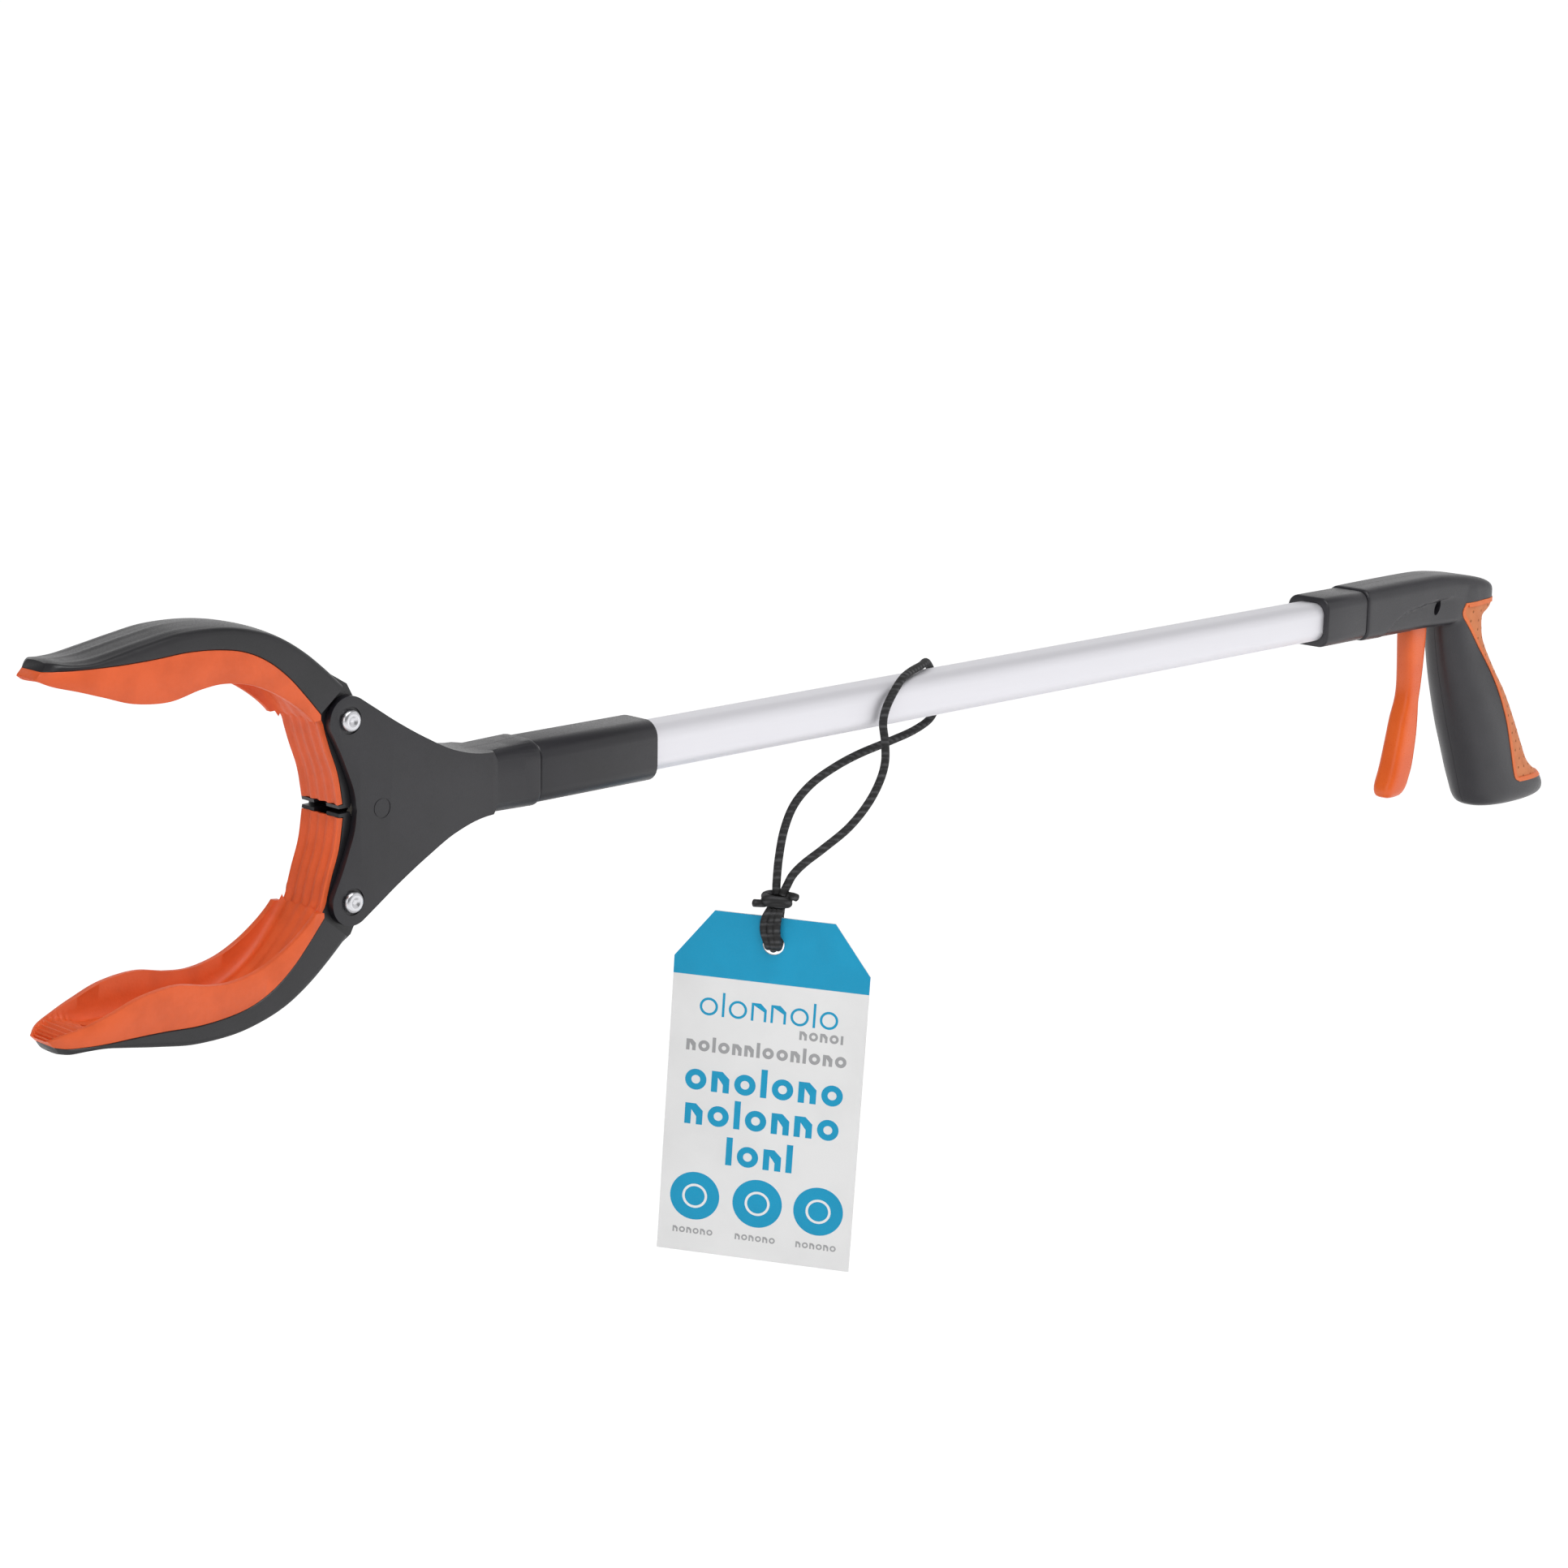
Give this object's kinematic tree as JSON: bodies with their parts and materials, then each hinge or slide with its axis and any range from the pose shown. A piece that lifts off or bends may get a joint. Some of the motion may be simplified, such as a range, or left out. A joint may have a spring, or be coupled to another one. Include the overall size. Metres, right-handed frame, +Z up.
{
  "type": "reacher grabber",
  "caption": "Reacher grabber with a pistol handle and trigger, a square tube, a turning head and two rubber-lined jaws that close together, with a swing tag on a cord.",
  "frame": {"origin": "middle of the grip, where the hand closes on it, in the plane of symmetry of the handle", "axes": "+X along the tube from the jaws to the handle, +Y across the handle to its screwed side, +Z up"},
  "size_m": [0.8022, 0.064, 0.2645],
  "materials": {
    "black_plastic": "satin",
    "grey_plastic": "satin",
    "orange_rubber": "matte",
    "orange_plastic": "smooth",
    "peach_rubber": "matte, dimpled",
    "aluminium": "satin, anodised",
    "steel": "bright",
    "natural_plastic": "smooth",
    "black_rubber": "matte",
    "cord": "braided",
    "card": "printed card"
  },
  "bodies": {
    "handle": {"tube": "aluminium", "handle_sleeve": "grey_plastic", "head_sleeve": "black_plastic", "head_sleeve_rivet": "steel", "handle_sleeve_rivet": "steel", "front_rod_guide": "natural_plastic", "rear_rod_guide": "natural_plastic", "return_spring": "steel", "handle_shell_near": "grey_plastic", "handle_shell_far": "grey_plastic", "grip_pad": "peach_rubber", "trigger_pin": "steel", "handle_screw_upper": "steel", "handle_screw_middle": "steel", "handle_screw_lower": "steel", "tag_cord": "cord", "cord_knot": "cord"},
    "head": {"head_shell_near": "black_plastic", "head_shell_far": "black_plastic", "head_screw_upper": "steel", "head_screw_lower": "steel", "upper_jaw_rivet": "steel", "lower_jaw_rivet": "steel", "head_friction_ring": "black_rubber", "head_retaining_clip": "steel"},
    "upper_jaw": {"upper_jaw_arm": "black_plastic", "upper_jaw_lining": "orange_rubber"},
    "lower_jaw": {"lower_jaw_arm": "black_plastic", "lower_jaw_lining": "orange_rubber"},
    "yoke": {"pull_yoke": "natural_plastic"},
    "rod": {"pull_rod": "steel", "rod_collar": "steel", "rod_end": "natural_plastic", "clevis_pin": "steel"},
    "trigger": {"trigger": "orange_plastic"},
    "tag": {"cord_bight": "cord", "swing_tag": "card"}
  },
  "joints": [
    {"name": "head_turn", "type": "hinge", "parent": "handle", "child": "head", "pos_m": [-0.5563, 0, 0.05], "axis": [1, 0, 0], "range_deg": [0, 90]},
    {"name": "upper_jaw_hinge", "type": "hinge", "parent": "head", "child": "upper_jaw", "pos_m": [-0.6463, 0, 0.0785], "axis": [0, -1, 0], "range_deg": [0, 28.1]},
    {"name": "lower_jaw_hinge", "type": "hinge", "parent": "head", "child": "lower_jaw", "pos_m": [-0.6463, 0, 0.0215], "axis": [0, 1, 0], "range_deg": [0, 28.1]},
    {"name": "yoke_slide", "type": "slide", "parent": "head", "child": "yoke", "axis": [1, 0, 0], "range_m": [0, 0.00492]},
    {"name": "rod_slide", "type": "slide", "parent": "handle", "child": "rod", "axis": [1, 0, 0], "range_m": [0, 0.00492], "deforming": ["return_spring"]},
    {"name": "trigger_pull", "type": "hinge", "parent": "handle", "child": "trigger", "pos_m": [-0.056, 0, 0.0552], "axis": [0, -1, 0], "range_deg": [0, 23], "stiffness_Nm_per_rad": 0.4, "springref_deg": -20.05},
    {"name": "tag_swing", "type": "hinge", "parent": "handle", "child": "tag", "pos_m": [-0.4533, -0.0052, -0.0131], "axis": [0.5584, -0.8279, -0.0523], "range_deg": [-25, 25]}
  ],
  "couplings": [
    {"joint": "upper_jaw_hinge", "follows": "trigger_pull", "ratio": 1.2217},
    {"joint": "lower_jaw_hinge", "follows": "trigger_pull", "ratio": 1.2217},
    {"joint": "rod_slide", "follows": "trigger_pull", "m_per_rad": 0.012251},
    {"joint": "yoke_slide", "follows": "trigger_pull", "m_per_rad": 0.012251}
  ]
}
